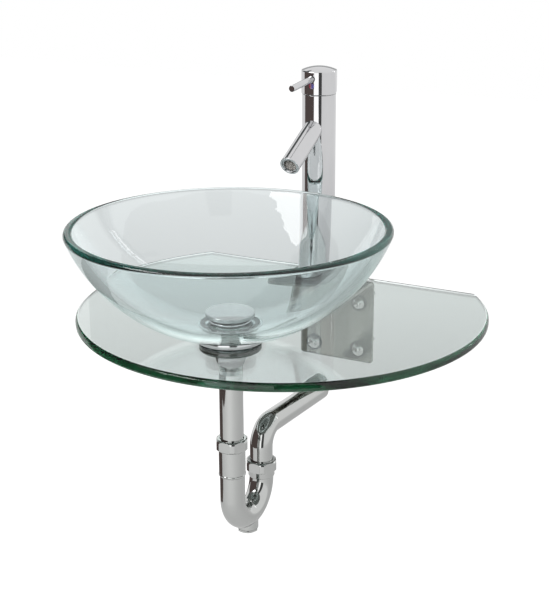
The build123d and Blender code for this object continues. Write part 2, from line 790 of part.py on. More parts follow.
with BuildPart() as handle_cap:
    with BuildSketch(column_section) as cap_profile:
        with BuildLine():
            Polyline(
                (0, cap_top + cap_dome),
                (0, boss_low),
                (boss_radius, boss_low),
                (boss_radius, cap_ceiling),
                (cap_radius - cap_wall, cap_ceiling),
                (cap_radius - cap_wall, cap_bottom),
                (cap_radius, cap_bottom),
                (cap_radius, cap_top),
            )
            dome_arc(cap_radius, cap_top, cap_dome)
        make_face()
        fillet(cap_profile.vertices().group_by(Axis.X)[-1].sort_by(Axis.Y)[-1], cap_round)
    revolve(axis=column_axis)
    with BuildSketch(Plane((0, column_y, boss_low))):
        Circle(handle_stem_radius)
    extrude(amount=stem_top - boss_low, mode=Mode.SUBTRACT)
    with BuildSketch(lever_plane):
        Circle(lever_radius)
    extrude(amount=cap_radius, mode=Mode.SUBTRACT)
    with BuildSketch(front_wall):
        Circle(dot_radius)
    extrude(amount=cap_radius, mode=Mode.SUBTRACT)
    with BuildSketch(front_wall.offset(-boss_radius)):
        Circle(screw_radius)
    extrude(amount=boss_radius, mode=Mode.SUBTRACT)
    with BuildSketch(Plane.YZ.offset(-bevel_reach)):
        with BuildLine():
            Polyline(
                (column_y, cap_bottom - 1),
                (column_y, pivot_z - 1 / cos(bevel)),
                (column_y + bevel_reach, pivot_z + bevel_rise),
                (column_y + bevel_reach, cap_bottom - 1),
                close=True,
            )
        make_face()
    extrude(amount=2 * bevel_reach, mode=Mode.SUBTRACT)
handle_cap.part.label = "handle_cap"
export_step(handle_cap.part, "parts/handle_cap.step")

with BuildPart() as lever_pin:
    with BuildSketch(lever_plane):
        Circle(lever_radius)
    extrude(amount=lever_length)
    chamfer(lever_pin.edges().sort_by(Axis.Y)[0], 0.5)
lever_pin.part.label = "lever_pin"
export_step(lever_pin.part, "parts/lever_pin.step")

with BuildPart() as handle_set_screw:
    with BuildSketch(front_wall.offset(-boss_radius + handle_stem_radius)):
        Circle(screw_radius)
    extrude(amount=boss_radius - handle_stem_radius)
    with BuildSketch(front_wall.offset(-2)):
        RegularPolygon(1.25, 6, major_radius=False)
    extrude(amount=2, mode=Mode.SUBTRACT)
handle_set_screw.part.label = "handle_set_screw"
export_step(handle_set_screw.part, "parts/handle_set_screw.step")

with BuildPart() as indicator_button:
    with BuildSketch(front_wall.offset(cap_radius - boss_radius - cap_wall)):
        Circle(dot_radius)
    extrude(amount=cap_wall + 0.3)
indicator_button.part.label = "indicator_button"
export_step(indicator_button.part, "parts/indicator_button.step")

# ---------------------------------------------------------------- aerator
gasket_low = spout_length - aerator_depth
housing_low = gasket_low + 1.5
housing_high = spout_length - 1.5
mesh_high = spout_length - 2.5
mesh_thickness = 1.0
aerator_bore = 9.3
with BuildPart() as aerator_gasket:
    with BuildSketch(spout_plane.offset(gasket_low)):
        Circle(aerator_radius - 0.2)
        Circle(aerator_radius - 1.8, mode=Mode.SUBTRACT)
    extrude(amount=1.5)
aerator_gasket.part.label = "aerator_gasket"
export_step(aerator_gasket.part, "parts/aerator_gasket.step")

with BuildPart() as aerator_housing:
    with BuildSketch(spout_plane.offset(housing_low)):
        Circle(aerator_radius - 0.05)
        Circle(aerator_bore - 1, mode=Mode.SUBTRACT)
    extrude(amount=housing_high - housing_low)
    with BuildSketch(spout_plane.offset(mesh_high - mesh_thickness)):
        Circle(aerator_bore)
    extrude(amount=housing_high - mesh_high + mesh_thickness, mode=Mode.SUBTRACT)
aerator_housing.part.label = "aerator_housing"
export_step(aerator_housing.part, "parts/aerator_housing.step")

mesh_pitch = 2.4
with BuildPart() as aerator_mesh:
    with BuildSketch(spout_plane.offset(mesh_high - mesh_thickness)):
        Circle(aerator_bore - 0.02)
        with GridLocations(mesh_pitch, mesh_pitch, 5, 5):
            Rectangle(1.6, 1.6, mode=Mode.SUBTRACT)
    extrude(amount=mesh_thickness)
aerator_mesh.part.label = "aerator_mesh"
export_step(aerator_mesh.part, "parts/aerator_mesh.step")
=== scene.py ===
import bpy
import json
from math import acos, asin, atan2, cos, degrees, hypot, pi, radians, sin, sqrt
from mathutils import Matrix, Vector


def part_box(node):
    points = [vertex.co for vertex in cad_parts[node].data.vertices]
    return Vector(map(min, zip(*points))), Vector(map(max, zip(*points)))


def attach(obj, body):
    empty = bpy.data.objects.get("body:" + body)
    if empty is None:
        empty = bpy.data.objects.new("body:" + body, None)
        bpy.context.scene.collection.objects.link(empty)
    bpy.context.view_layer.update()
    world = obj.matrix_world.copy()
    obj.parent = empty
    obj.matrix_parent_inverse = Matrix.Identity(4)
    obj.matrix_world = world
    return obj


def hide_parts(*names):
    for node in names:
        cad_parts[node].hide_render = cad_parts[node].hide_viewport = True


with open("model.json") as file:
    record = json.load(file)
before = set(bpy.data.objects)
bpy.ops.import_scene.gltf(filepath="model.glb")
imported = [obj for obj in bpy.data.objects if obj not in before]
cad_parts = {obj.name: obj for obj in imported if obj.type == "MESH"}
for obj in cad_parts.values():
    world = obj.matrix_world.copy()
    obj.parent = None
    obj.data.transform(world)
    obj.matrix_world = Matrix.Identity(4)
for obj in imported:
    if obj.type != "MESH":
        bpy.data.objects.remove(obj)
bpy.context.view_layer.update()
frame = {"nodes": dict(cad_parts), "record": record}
nodes = frame["nodes"]
bpy.ops.object.select_all(action="DESELECT")
mm = 0.001
touching = 1e-6
sharp_edge = radians(40)

# ------------------------------------------------------------------ wall bracket
# An angle of 5 mm steel, bent once and chromed. Its back plate is screwed to the wall and its
# leg carries the glass shelf. The plate is cut round at its corners and drilled for four screws.


def begin(name):
    """Edit mode on a new piece that is a single point at the origin."""
    bpy.ops.object.select_all(action="DESELECT")
    bpy.ops.mesh.primitive_plane_add(size=mm)
    piece = bpy.context.object
    piece.name = piece.data.name = name
    bpy.context.tool_settings.mesh_select_mode = (True, False, False)
    bpy.ops.object.mode_set(mode="EDIT")
    bpy.ops.mesh.select_all(action="SELECT")
    bpy.ops.mesh.merge(type="CENTER")
    return piece


def draw(points):
    """Draws a line of edges through points, from the one point that the piece is."""
    bpy.ops.transform.translate(value=points[0])
    for start, end in zip(points, points[1:]):
        bpy.ops.mesh.extrude_region_move(TRANSFORM_OT_translate={"value": end - start})
    bpy.ops.mesh.select_all(action="SELECT")
    bpy.ops.mesh.remove_doubles(threshold=touching)
    bpy.ops.mesh.select_all(action="SELECT")


def close_up():
    """Merges the doubles, turns the faces outwards and goes back to object mode."""
    bpy.ops.mesh.select_all(action="SELECT")
    bpy.ops.mesh.remove_doubles(threshold=touching)
    bpy.ops.mesh.select_all(action="SELECT")
    bpy.ops.mesh.normals_make_consistent(inside=False)
    bpy.ops.object.mode_set(mode="OBJECT")


def pick(piece, kind, wanted):
    """Selects, in edit mode, the edges or faces of the piece for which wanted(element) is true."""
    bpy.ops.object.mode_set(mode="OBJECT")
    points = piece.data.vertices
    points.foreach_set("select", [False] * len(points))
    piece.data.edges.foreach_set("select", [False] * len(piece.data.edges))
    piece.data.polygons.foreach_set("select", [False] * len(piece.data.polygons))
    if kind == "EDGE":
        for edge in piece.data.edges:
            edge.select = wanted(*[points[v].co for v in edge.vertices])
    else:
        for face in piece.data.polygons:
            face.select = wanted(face.center, face.normal)
    bpy.ops.object.mode_set(mode="EDIT")
    bpy.context.tool_settings.mesh_select_mode = (False, kind == "EDGE", kind == "FACE")


def alone(piece):
    """Makes the piece the only selected one."""
    bpy.ops.object.select_all(action="DESELECT")
    piece.select_set(True)
    bpy.context.view_layer.objects.active = piece


def settle(piece):
    """Moves the piece's place and turn into its mesh."""
    alone(piece)
    bpy.ops.object.transform_apply(location=True, rotation=True, scale=True)


def fit_together(piece, other, how):
    """Joins the other piece to this one or cuts with it, and takes the other away."""
    alone(piece)
    cut = piece.modifiers.new("cut", "BOOLEAN")
    cut.operation = how
    cut.object = other
    cut.solver = "EXACT"
    bpy.ops.object.modifier_apply(modifier="cut")
    bpy.data.objects.remove(other)


def rod(radius, low, high, place, tilt=None, sides=128):
    """A plain round tool for boring holes, from low to high along its own axis."""
    bpy.ops.object.select_all(action="DESELECT")
    bpy.ops.mesh.primitive_cylinder_add(vertices=sides, radius=radius, depth=high - low,
                                        location=(0, 0, (low + high) / 2))
    tool = bpy.context.object
    settle(tool)
    tool.location = place
    if tilt is not None:
        tool.rotation_euler = tilt
    settle(tool)
    return tool


def polish(piece, edge=0.0, turn=30.0, segments=3):
    """Breaks the sharp edges by a small round and smooths the shading between them."""
    alone(piece)
    if edge:
        broken = piece.modifiers.new("broken_edges", "BEVEL")
        broken.width = edge
        broken.segments = segments
        broken.limit_method = "ANGLE"
        broken.angle_limit = sharp_edge
        bpy.ops.object.modifier_apply(modifier="broken_edges")
    bpy.ops.object.shade_smooth_by_angle(angle=radians(turn))
    weighted = piece.modifiers.new("weighted", "WEIGHTED_NORMAL")
    weighted.keep_sharp = True
    bpy.ops.object.modifier_apply(modifier="weighted")


def round_about(centre, radius, start, end, steps):
    """Points of an arc in a section: angle 0 points outwards and 90 points up."""
    return [(centre[0] + radius * cos(radians(start + (end - start) * k / steps)),
             centre[1] + radius * sin(radians(start + (end - start) * k / steps)))
            for k in range(steps + 1)]


class Signal:
    """A shader socket that can be used in plain arithmetic; each step adds one Math node."""

    def __init__(self, tree, socket):
        self.tree = tree
        self.socket = socket

    def step(self, operation, *values):
        node = self.tree.nodes.new("ShaderNodeMath")
        node.operation = operation
        for at, value in enumerate(values):
            if isinstance(value, Signal):
                self.tree.links.new(value.socket, node.inputs[at])
            else:
                node.inputs[at].default_value = value
        return Signal(self.tree, node.outputs[0])

    def __add__(self, other):
        return self.step("ADD", self, other)

    def __radd__(self, other):
        return self.step("ADD", other, self)

    def __sub__(self, other):
        return self.step("SUBTRACT", self, other)

    def __rsub__(self, other):
        return self.step("SUBTRACT", other, self)

    def __mul__(self, other):
        return self.step("MULTIPLY", self, other)

    def __rmul__(self, other):
        return self.step("MULTIPLY", other, self)


class Finish:
    """One material's or the world's nodes, with one method that adds any node."""

    def __init__(self, owner):
        self.owner = owner
        owner.use_nodes = True
        self.tree = owner.node_tree
        self.tree.nodes.clear()

    def add(self, kind, settings=None, sockets=None, out=0):
        node = self.tree.nodes.new("ShaderNode" + kind)
        for name, setting in (settings or {}).items():
            if name == "stops":
                stops = node.color_ramp.elements
                while len(stops) < len(setting):
                    stops.new(0.5)
                for stop, (place, colour) in zip(stops, setting):
                    stop.position = place
                    stop.color = (*colour, 1.0)
            else:
                setattr(node, name, setting)
        for name, value in (sockets or {}).items():
            if isinstance(value, Signal):
                self.tree.links.new(value.socket, node.inputs[name])
            else:
                node.inputs[name].default_value = value
        return Signal(self.tree, node.outputs[out]) if node.outputs else node

    def surface(self, shader, volume=None):
        sockets = {"Surface": shader}
        if volume is not None:
            sockets["Volume"] = volume
        self.add("OutputMaterial", sockets=sockets)
        return self.owner


def wear(piece, finish, body="basin_set", stands_for=()):
    """Gives a finished piece its material, its body and the CAD nodes it stands for."""
    piece.data.materials.clear()
    piece.data.materials.append(finish)
    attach(piece, body)
    if stands_for:
        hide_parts(*stands_for)


plate_low, plate_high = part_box("wall_bracket")
shank_low, shank_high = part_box("faucet_shank")
column_y = (shank_low.y + shank_high.y) / 2
steel = 5.0 * mm
bend_inside = 5.0 * mm
lower_corner, front_corner = 4 * mm, 8 * mm
bolt_hole, bolt_offset = 4.5 * mm, 37.0 * mm
shank_hole = 17.5 * mm
through_leg = (60 * mm, 80 * mm)
leg_under = plate_high.z - steel
half_width = plate_high.x
front_y = plate_low.y
bend_middle = (-bend_inside - steel, leg_under - bend_inside)
bracket = begin("bracket_angle")
side = [(-steel, plate_low.z), (0.0, plate_low.z)]
side += round_about(bend_middle, bend_inside + steel, 0, 90, 10)
side += [(front_y, plate_high.z), (front_y, leg_under)]
side += round_about(bend_middle, bend_inside, 90, 0, 8)
side.append(side[0])
draw([Vector((-half_width, y, z)) for y, z in side])
bpy.ops.mesh.edge_face_add()
bpy.ops.mesh.extrude_region_move(TRANSFORM_OT_translate={"value": (2 * half_width, 0, 0)})
pick(bracket, "EDGE", lambda a, b: abs(a.z - b.z) < touching and abs(a.x - b.x) < touching
     and abs(a.z - plate_low.z) < touching)
bpy.ops.mesh.bevel(offset=lower_corner, segments=6, affect="EDGES")
pick(bracket, "EDGE", lambda a, b: abs(a.z - b.z) > lower_corner and abs(a.x - b.x) < touching
     and abs(a.y - front_y) < touching and abs(b.y - front_y) < touching)
bpy.ops.mesh.bevel(offset=front_corner, segments=10, affect="EDGES")
close_up()
facing_out = (radians(90), 0, 0)
bolt_places = [(x, z) for x in (-bolt_offset, bolt_offset) for z in (-bolt_offset, bolt_offset)]
for bolt_x, bolt_z in bolt_places:
    drill = rod(bolt_hole, -8 * mm, 8 * mm, (bolt_x, -steel / 2, bolt_z), facing_out, 32)
    fit_together(bracket, drill, "DIFFERENCE")
fit_together(bracket, rod(shank_hole, *through_leg, (0, column_y, 0)), "DIFFERENCE")
polish(bracket, 0.5 * mm)
plate_chrome = Finish(bpy.data.materials.new("bracket_chrome"))
place = plate_chrome.add("TexCoord", out="Object")
across = plate_chrome.add("SeparateXYZ", sockets={"Vector": place}, out="X") * (0.5 / half_width) + 0.5
# The bracket's base tone is darkened as painted shade, and its lighter and darker upright bands across its
# width are painted reflections, the same from every side.
shaded_plate_tone = (0.195, 0.199, 0.178)
painted_reflection_shades = ((0.0, 1.0), (0.20, 0.95), (0.24, 1.55), (0.46, 1.45), (0.49, 0.95), (0.66, 1.0), (0.72, 1.25),
          (1.0, 1.2))
painted_reflection_stops = [(at, [c * shade for c in shaded_plate_tone]) for at, shade in painted_reflection_shades]
marks = plate_chrome.add("TexNoise", sockets={"Vector": place, "Scale": 60.0, "Detail": 5.0})
uneven = plate_chrome.add("TexNoise", sockets={"Vector": place, "Scale": 45.0, "Detail": 2.0})
plate_chrome.surface(plate_chrome.add("BsdfPrincipled", sockets={
    "Base Color": plate_chrome.add("ValToRGB", {"stops": painted_reflection_stops}, {"Fac": across}), "Metallic": 1.0,
    "Roughness": 0.09 + marks * 0.12,
    "Normal": plate_chrome.add("Bump", sockets={"Height": uneven, "Strength": 0.06, "Distance": 0.0003})}))
wear(bracket, plate_chrome.owner, stands_for=["wall_bracket"])

# ------------------------------------------------------------------ wall screws
# Four M8 dome-headed screws in chromed steel, each on a flat washer with softened rims.
# They hold the bracket's plate to the wall, and their shanks go 50 mm into it.


def turned(name, section, steps=128):
    """A piece turned about its own upright axis; section holds (radius, height) in millimetres."""
    piece = begin(name)
    draw([Vector((radius * mm, 0, height * mm)) for radius, height in section])
    bpy.ops.mesh.spin(steps=steps, angle=2 * pi, center=(0, 0, 0), axis=(0, 0, 1), use_auto_merge=True)
    close_up()
    return piece


def polished_metal(name, colour, rough, smear, ripple):
    """Bright plate: faint wiping marks change its gloss, and its surface is very slightly uneven."""
    finish = Finish(bpy.data.materials.new(name))
    place = finish.add("TexCoord", out="Object")
    wiped = finish.add("Mapping", sockets={"Vector": place, "Scale": (30.0, 30.0, 9.0)})
    marks = finish.add("TexNoise", sockets={"Vector": wiped, "Scale": 3.0, "Detail": 5.0, "Roughness": 0.6})
    uneven = finish.add("TexNoise", sockets={"Vector": place, "Scale": 45.0, "Detail": 2.0})
    bump = finish.add("Bump", sockets={"Height": uneven, "Strength": ripple, "Distance": 0.0003})
    tone = finish.add("ValToRGB", {"stops": [(0.35, [c * 0.97 for c in colour]), (0.65, colour)]},
                      {"Fac": marks})
    return finish.surface(finish.add("BsdfPrincipled", sockets={
        "Base Color": tone, "Metallic": 1.0, "Roughness": rough + marks * smear, "Normal": bump}))


# The screws' chrome is darker than the other chrome as painted shade, and the washers are nearly black, a
# painted dark reflection that rings each dome.
shaded_screw_chrome = polished_metal("shaded_screw_chrome", (0.50, 0.505, 0.49), 0.03, 0.05, 0.03)
washer_painted_dark_reflection = polished_metal("washer_painted_dark_reflection", (0.03, 0.032, 0.03), 0.08, 0.05, 0.03)
screw_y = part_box("wall_screw_washers")[0].y
head_high, head_radius = 6.5, 10.0
dome_rise = head_high - 1.0
dome_sphere = (head_radius ** 2 + dome_rise ** 2) / (2 * dome_rise)
dome_span = 90 - degrees(asin(head_radius / dome_sphere))
screw = turned("wall_screw", [(0, -56.5), (3.2, -56.5), (4, -55), (4, 0), (head_radius - 0.4, 0),
                              (head_radius, 0.4), (head_radius, 1.0)]
               + round_about((0, head_high - dome_sphere), dome_sphere, dome_span, 90, 14)[1:], 72)
washer = turned("screw_washer", [(4.3, 0), (12.6, 0), (13, 0.4), (13, 1.1), (12.6, 1.5), (4.3, 1.5),
                                 (4.3, 0)], 72)
for piece in (screw, washer):
    piece.rotation_euler = facing_out
    settle(piece)
for piece, node, seat_y, finish in ((screw, "wall_screws", screw_y, shaded_screw_chrome),
                                    (washer, "wall_screw_washers", -steel, washer_painted_dark_reflection)):
    for number, (bolt_x, bolt_z) in enumerate(bolt_places, 1):
        copy = piece.copy()
        copy.data = piece.data.copy()
        copy.name = f"{piece.name}_{number}"
        bpy.context.scene.collection.objects.link(copy)
        copy.location = (bolt_x, seat_y, bolt_z)
        settle(copy)
        polish(copy)
        wear(copy, finish, stands_for=[node])
    bpy.data.objects.remove(piece)

# ------------------------------------------------------------------ glass shelf
# A round of 12 mm float glass, cut flat at the wall, with a polished, rounded edge. It is drilled
# for the drain and the faucet, lies on the bracket's leg and shows green through its edge.


def clear_glass(name, skin, loss, density):
    """Float glass: clear on its faces, green through its thickness, with a very faint waviness."""
    finish = Finish(bpy.data.materials.new(name))
    place = finish.add("TexCoord", out="Object")
    film = finish.add("TexNoise", sockets={"Vector": place, "Scale": 14.0, "Detail": 4.0})
    wave = finish.add("TexNoise", sockets={"Vector": place, "Scale": 6.0, "Detail": 1.0})
    bump = finish.add("Bump", sockets={"Height": wave, "Strength": 0.02, "Distance": 0.0005})
    tone = finish.add("ValToRGB", {"stops": [(0.3, [c * 0.99 for c in skin]), (0.7, skin)]}, {"Fac": film})
    body = finish.add("BsdfPrincipled", sockets={
        "Base Color": tone, "Roughness": film * 0.004, "IOR": 1.5, "Transmission Weight": 1.0,
        "Normal": bump})
    return finish.surface(body, finish.add("VolumeAbsorption", sockets={
        "Color": (*[1 - part / density for part in loss], 1.0), "Density": density}))


shelf_glass = clear_glass("shelf_glass", (0.99, 0.985, 1.0), (9.6, 5.2, 7.0), 14.0)
shelf_low, shelf_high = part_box("glass_shelf")
shelf_radius = shelf_high.x
shelf_middle = shelf_low.y + shelf_radius
bowl_low, bowl_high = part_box("glass_bowl")
bowl_y = (bowl_low.y + bowl_high.y) / 2
edge_round = 5.0 * mm
drain_hole = 22.5
through_shelf = (60 * mm, 100 * mm)
corner = 6.0 * mm
corner_x = sqrt((shelf_radius - corner) ** 2 - (shelf_high.y - corner - shelf_middle) ** 2)
corner_turn = degrees(atan2(shelf_high.y - corner - shelf_middle, corner_x))
round_steps = 8
outline = round_about((0, shelf_middle), shelf_radius, corner_turn, -180 - corner_turn, 360)
outline += round_about((-corner_x, shelf_high.y - corner), corner, 180 - corner_turn, 90, 8)[1:]
outline += round_about((corner_x, shelf_high.y - corner), corner, 90, corner_turn, 8)
shelf = begin("shelf")
draw([Vector((x, y, shelf_low.z + edge_round)) for x, y in outline])
bpy.ops.mesh.edge_face_add()
bpy.ops.mesh.extrude_region_move(
    TRANSFORM_OT_translate={"value": (0, 0, shelf_high.z - shelf_low.z - 2 * edge_round)})
for side in (1, -1):
    level = shelf_high.z - edge_round if side > 0 else shelf_low.z + edge_round
    pick(shelf, "FACE", lambda centre, normal: abs(normal.z) > 0.9 and abs(centre.z - level) < 1e-5)
    for step in range(round_steps):
        start, end = radians(90 * step / round_steps), radians(90 * (step + 1) / round_steps)
        bpy.ops.mesh.inset(thickness=edge_round * (cos(start) - cos(end)),
                           depth=edge_round * (sin(end) - sin(start)), use_even_offset=True)
close_up()
for radius, y in ((drain_hole * mm, bowl_y), (shank_hole, column_y)):
    fit_together(shelf, rod(radius, *through_shelf, (0, y, 0)), "DIFFERENCE")
polish(shelf)
wear(shelf, shelf_glass, stands_for=["glass_shelf"])

# ------------------------------------------------------------------ glass bowl
# Slumped 12 mm glass in the shape of a sphere's lower part, with a flat ground on its floor for
# the drain's flange and a rim that is ground, rounded and polished.


def stand(piece, y):
    """Stands a piece that was turned about the origin on the upright axis at y."""
    piece.location = (0, y, 0)
    settle(piece)


bowl_glass = clear_glass("bowl_glass", (0.975, 0.987, 0.998), (6.6, 3.3, 3.7), 12.0)
outer_sphere, wall = 225.67, 12.0
inner_sphere = outer_sphere - wall
flat_radius = 34
centre_z = bowl_low.z / mm + sqrt(outer_sphere ** 2 - drain_hole ** 2)
rim_z = bowl_high.z / mm
rim_round = 4.5


def rim_corner(sphere, inward):
    """Centre of the small round between a sphere and the flat rim, and its angle on the sphere."""
    reach = sphere + inward * rim_round
    height = rim_z - rim_round
    radius = sqrt(reach ** 2 - (centre_z - height) ** 2)
    return (radius, height), -degrees(asin((centre_z - height) / reach))


outer_corner, outer_turn = rim_corner(outer_sphere, -1)
inner_corner, inner_turn = rim_corner(inner_sphere, 1)
floor_z = centre_z - sqrt(inner_sphere ** 2 - flat_radius ** 2)
foot_turn = -degrees(acos(drain_hole / outer_sphere))
floor_turn = -degrees(acos(flat_radius / inner_sphere))
section = round_about((0, centre_z), outer_sphere, foot_turn, outer_turn, 56)
section += round_about(outer_corner, rim_round, outer_turn, 90, 12)[1:]
section += round_about(inner_corner, rim_round, 90, 180 + inner_turn, 10)
section += round_about((0, centre_z), inner_sphere, inner_turn, floor_turn, 56)[1:]
section += [(drain_hole, floor_z), section[0]]
bowl = turned("bowl", section, 256)
stand(bowl, bowl_y)
polish(bowl)
wear(bowl, bowl_glass, stands_for=["glass_bowl"])

# ------------------------------------------------------------------ mounting ring
# A turned and chromed brass ring with a hollowed side. The bowl sits in its cone on a thin
# rubber gasket, and a second gasket keeps the ring off the shelf.


def arc_through(start, middle, end, steps):
    """Points of the arc in a section that runs from start to end through middle."""
    (ax, az), (bx, bz), (cx, cz) = start, middle, end
    size_a, size_b, size_c = ax ** 2 + az ** 2, bx ** 2 + bz ** 2, cx ** 2 + cz ** 2
    twice_area = 2 * (ax * (bz - cz) + bx * (cz - az) + cx * (az - bz))
    x = (size_a * (bz - cz) + size_b * (cz - az) + size_c * (az - bz)) / twice_area
    z = (size_a * (cx - bx) + size_b * (ax - cx) + size_c * (bx - ax)) / twice_area
    return round_about((x, z), hypot(ax - x, az - z), degrees(atan2(az - z, ax - x)),
                       degrees(atan2(cz - z, cx - x)), steps)


chrome = polished_metal("polished_chrome", (0.635, 0.635, 0.645), 0.02, 0.05, 0.03)
ring_low, ring_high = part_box("bowl_ring")
ring_radius, ring_foot, ring_lip = ring_high.x / mm, ring_low.z / mm, ring_high.z / mm
ring_bore, seat_radius, seat_edge, gasket = 31, 38, 42.1, 1.6
seat_depth = sqrt(outer_sphere ** 2 - seat_radius ** 2)
seat_slope = seat_radius / seat_depth
seat_z = centre_z - seat_depth - gasket
lip_edge = ring_radius - 0.5
section = [(ring_bore, seat_z + seat_slope * (ring_bore - seat_radius)), (ring_bore, ring_foot),
           (33, ring_foot), (33, ring_foot + 1), (40, ring_foot + 1), (40, ring_foot),
           (ring_radius - 3, ring_foot)]
section += arc_through((ring_radius - 2.5, ring_foot + 0.5),
                       (ring_radius - 0.1, (ring_foot + ring_lip) / 2 + 0.5), (lip_edge, ring_lip - 0.5), 12)
section += round_about((lip_edge - 0.5, ring_lip - 0.5), 0.5, 0, 90, 4)[1:]
section += [(seat_edge, ring_lip), (seat_edge, seat_z + seat_slope * (seat_edge - seat_radius)), section[0]]
ring = turned("mounting_ring", section, 192)
stand(ring, bowl_y)
polish(ring)
wear(ring, chrome, stands_for=["bowl_ring"])

# ------------------------------------------------------------------ drain
# The flange and its threaded body are turned in one from brass and chromed. A mushroom cap on a
# sprung stem closes it. A collar nut with a tapered foot pulls the body tight under the shelf,
# against a thick rubber washer.


def moulded(name, colour, rough):
    """Rubber or plastic: a matt skin with a fine pebble."""
    finish = Finish(bpy.data.materials.new(name))
    place = finish.add("TexCoord", out="Object")
    pebble = finish.add("TexNoise", sockets={"Vector": place, "Scale": 900.0, "Detail": 2.0})
    bump = finish.add("Bump", sockets={"Height": pebble, "Strength": 0.2, "Distance": 0.0001})
    tone = finish.add("ValToRGB", {"stops": [(0.3, [c * 0.85 for c in colour]), (0.7, colour)]},
                      {"Fac": pebble})
    return finish.surface(finish.add("BsdfPrincipled", sockets={
        "Base Color": tone, "Roughness": rough + pebble * 0.1, "Normal": bump}))


body_low, body_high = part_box("drain_body")
flange_radius, flange_top, body_bottom = body_high.x / mm, body_high.z / mm, body_low.z / mm
body_radius, throat, tube_bore, tail_socket = 19, 16, 14.8, 16.05
section = [(body_radius, body_bottom), (body_radius, flange_top - 3), (flange_radius, flange_top - 3)]
section += round_about((flange_radius - 1.4, flange_top - 1.4), 1.4, 0, 90, 6)
section += [(26, flange_top), (25, flange_top - 1.7), (throat, flange_top - 1.7), (throat, 88),
            (tube_bore, 88), (tube_bore, 64), (tail_socket, 64), (tail_socket, body_bottom),
            (body_radius, body_bottom)]
drain = turned("drain_flange", section)
stand(drain, bowl_y)
polish(drain)
wear(drain, chrome, stands_for=["drain_body"])

cap_low, cap_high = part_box("drain_cap")
cap_radius, cap_foot, cap_edge = cap_high.x / mm, cap_low.z / mm, cap_high.z / mm - 1
section = [(0, cap_foot + 4), (3, cap_foot + 4), (3, cap_foot), (cap_radius - 1.5, cap_foot)]
section += round_about((cap_radius - 1, cap_foot + 1), 1, -70, 0, 5)
section += round_about((cap_radius - 1.2, cap_edge - 1.2), 1.2, 0, 84, 7)
section += arc_through((cap_radius - 1.5, cap_edge), (cap_radius / 2, cap_edge + 0.76), (0, cap_edge + 1), 10)
cap = turned("drain_cap_top", section)
stand(cap, bowl_y)
polish(cap)
# The cap's chrome is a darker copy of the flange's chrome, painted shade.
wear(cap, polished_metal("shaded_cap_chrome", (0.43, 0.45, 0.45), 0.03, 0.05, 0.03), "drain_plunger",
     ["drain_cap"])

washer_low, washer_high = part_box("drain_shelf_washer")
washer_foot, washer_top, washer_reach = washer_low.z / mm, washer_high.z / mm, washer_high.x / mm
washer_bore = 19.3
section = [(washer_bore, washer_foot), (washer_reach - 1.5, washer_foot)]
section += round_about((washer_reach - 1.2, washer_foot + 1.2), 1.2, -80, 0, 5)
section += [(washer_reach, washer_foot + 3.2), (washer_reach - 0.7, washer_foot + 3.7),
            (washer_reach - 0.7, washer_foot + 4.3), (washer_reach, washer_foot + 4.8)]
section += round_about((washer_reach - 0.8, washer_top - 0.8), 0.8, 0, 80, 5)
section += [(washer_reach - 1.0, washer_top), (washer_bore, washer_top), (washer_bore, washer_foot)]
shelf_washer = turned("shelf_washer", section, 160)
stand(shelf_washer, bowl_y)
polish(shelf_washer)
wear(shelf_washer, moulded("gloss_rubber", (0.03, 0.045, 0.028), 0.12),
     stands_for=["drain_shelf_washer"])

nut_low, nut_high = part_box("drain_lock_nut")
nut_foot, nut_top, nut_reach = nut_low.z / mm, nut_high.z / mm, nut_high.x / mm
nut_bore = body_radius + 0.05
section = [(nut_bore, nut_top)] + round_about((nut_reach - 0.6, nut_top - 0.6), 0.6, 85, 0, 4)
section += arc_through((nut_reach, nut_top - 5.5), (20.9, nut_top - 11.5), (17.4, nut_foot), 14)
section += [(16.3, nut_foot), (16.3, body_bottom - 1), (nut_bore, body_bottom - 1), (nut_bore, nut_top)]
lock_nut = turned("drain_nut", section)
stand(lock_nut, bowl_y)
polish(lock_nut)
wear(lock_nut, chrome, stands_for=["drain_lock_nut"])

# ------------------------------------------------------------------ tailpiece
# A 32 mm chromed tube that runs from the drain down into the trap's first slip nut. Its upper end
# has a rolled thread that shows below the drain's nut.
trap_chrome = polished_metal("trap_chrome", (0.55, 0.56, 0.55), 0.02, 0.05, 0.04)
tail_low, tail_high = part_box("drain_tailpiece")
tube_radius = tail_high.x / mm
tail_foot, tail_top = tail_low.z / mm, tail_high.z / mm
thread_foot, thread_pitch, thread_depth, crests = 34, 1.8, 0.55, 6
section = [(tube_bore, tail_foot), (tube_radius, tail_foot)]
for crest in range(crests):
    level = thread_foot + thread_pitch * crest
    section += [(tube_radius, level), (tube_radius - thread_depth, level + 0.7), (tube_radius, level + 1.4)]
section += [(tube_radius, tail_top), (tube_bore, tail_top), (tube_bore, tail_foot)]
tail = turned("tailpiece", section)
stand(tail, bowl_y)
polish(tail)
wear(tail, trap_chrome, stands_for=["drain_tailpiece"])

# ------------------------------------------------------------------ slip nuts
# Two six-sided nuts with turned, rounded shoulders, one on each leg of the trap. Each is a
# turned blank cut to its six flats.
bend_low, bend_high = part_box("trap_bend")
thread_radius, tube_hole, thread_hole, shoulder = 19.4, 16.4, 19.5, 4
leg_y = bend_high.y - thread_radius * mm


def cut_hexagon(piece, half_flats, low, high):
    """Cuts a turned blank to six flats, two of them parallel to the wall."""
    flats = rod(half_flats * mm / cos(radians(30)), low, high, (0, 0, 0), (0, 0, radians(30)), 6)
    fit_together(piece, flats, "INTERSECT")


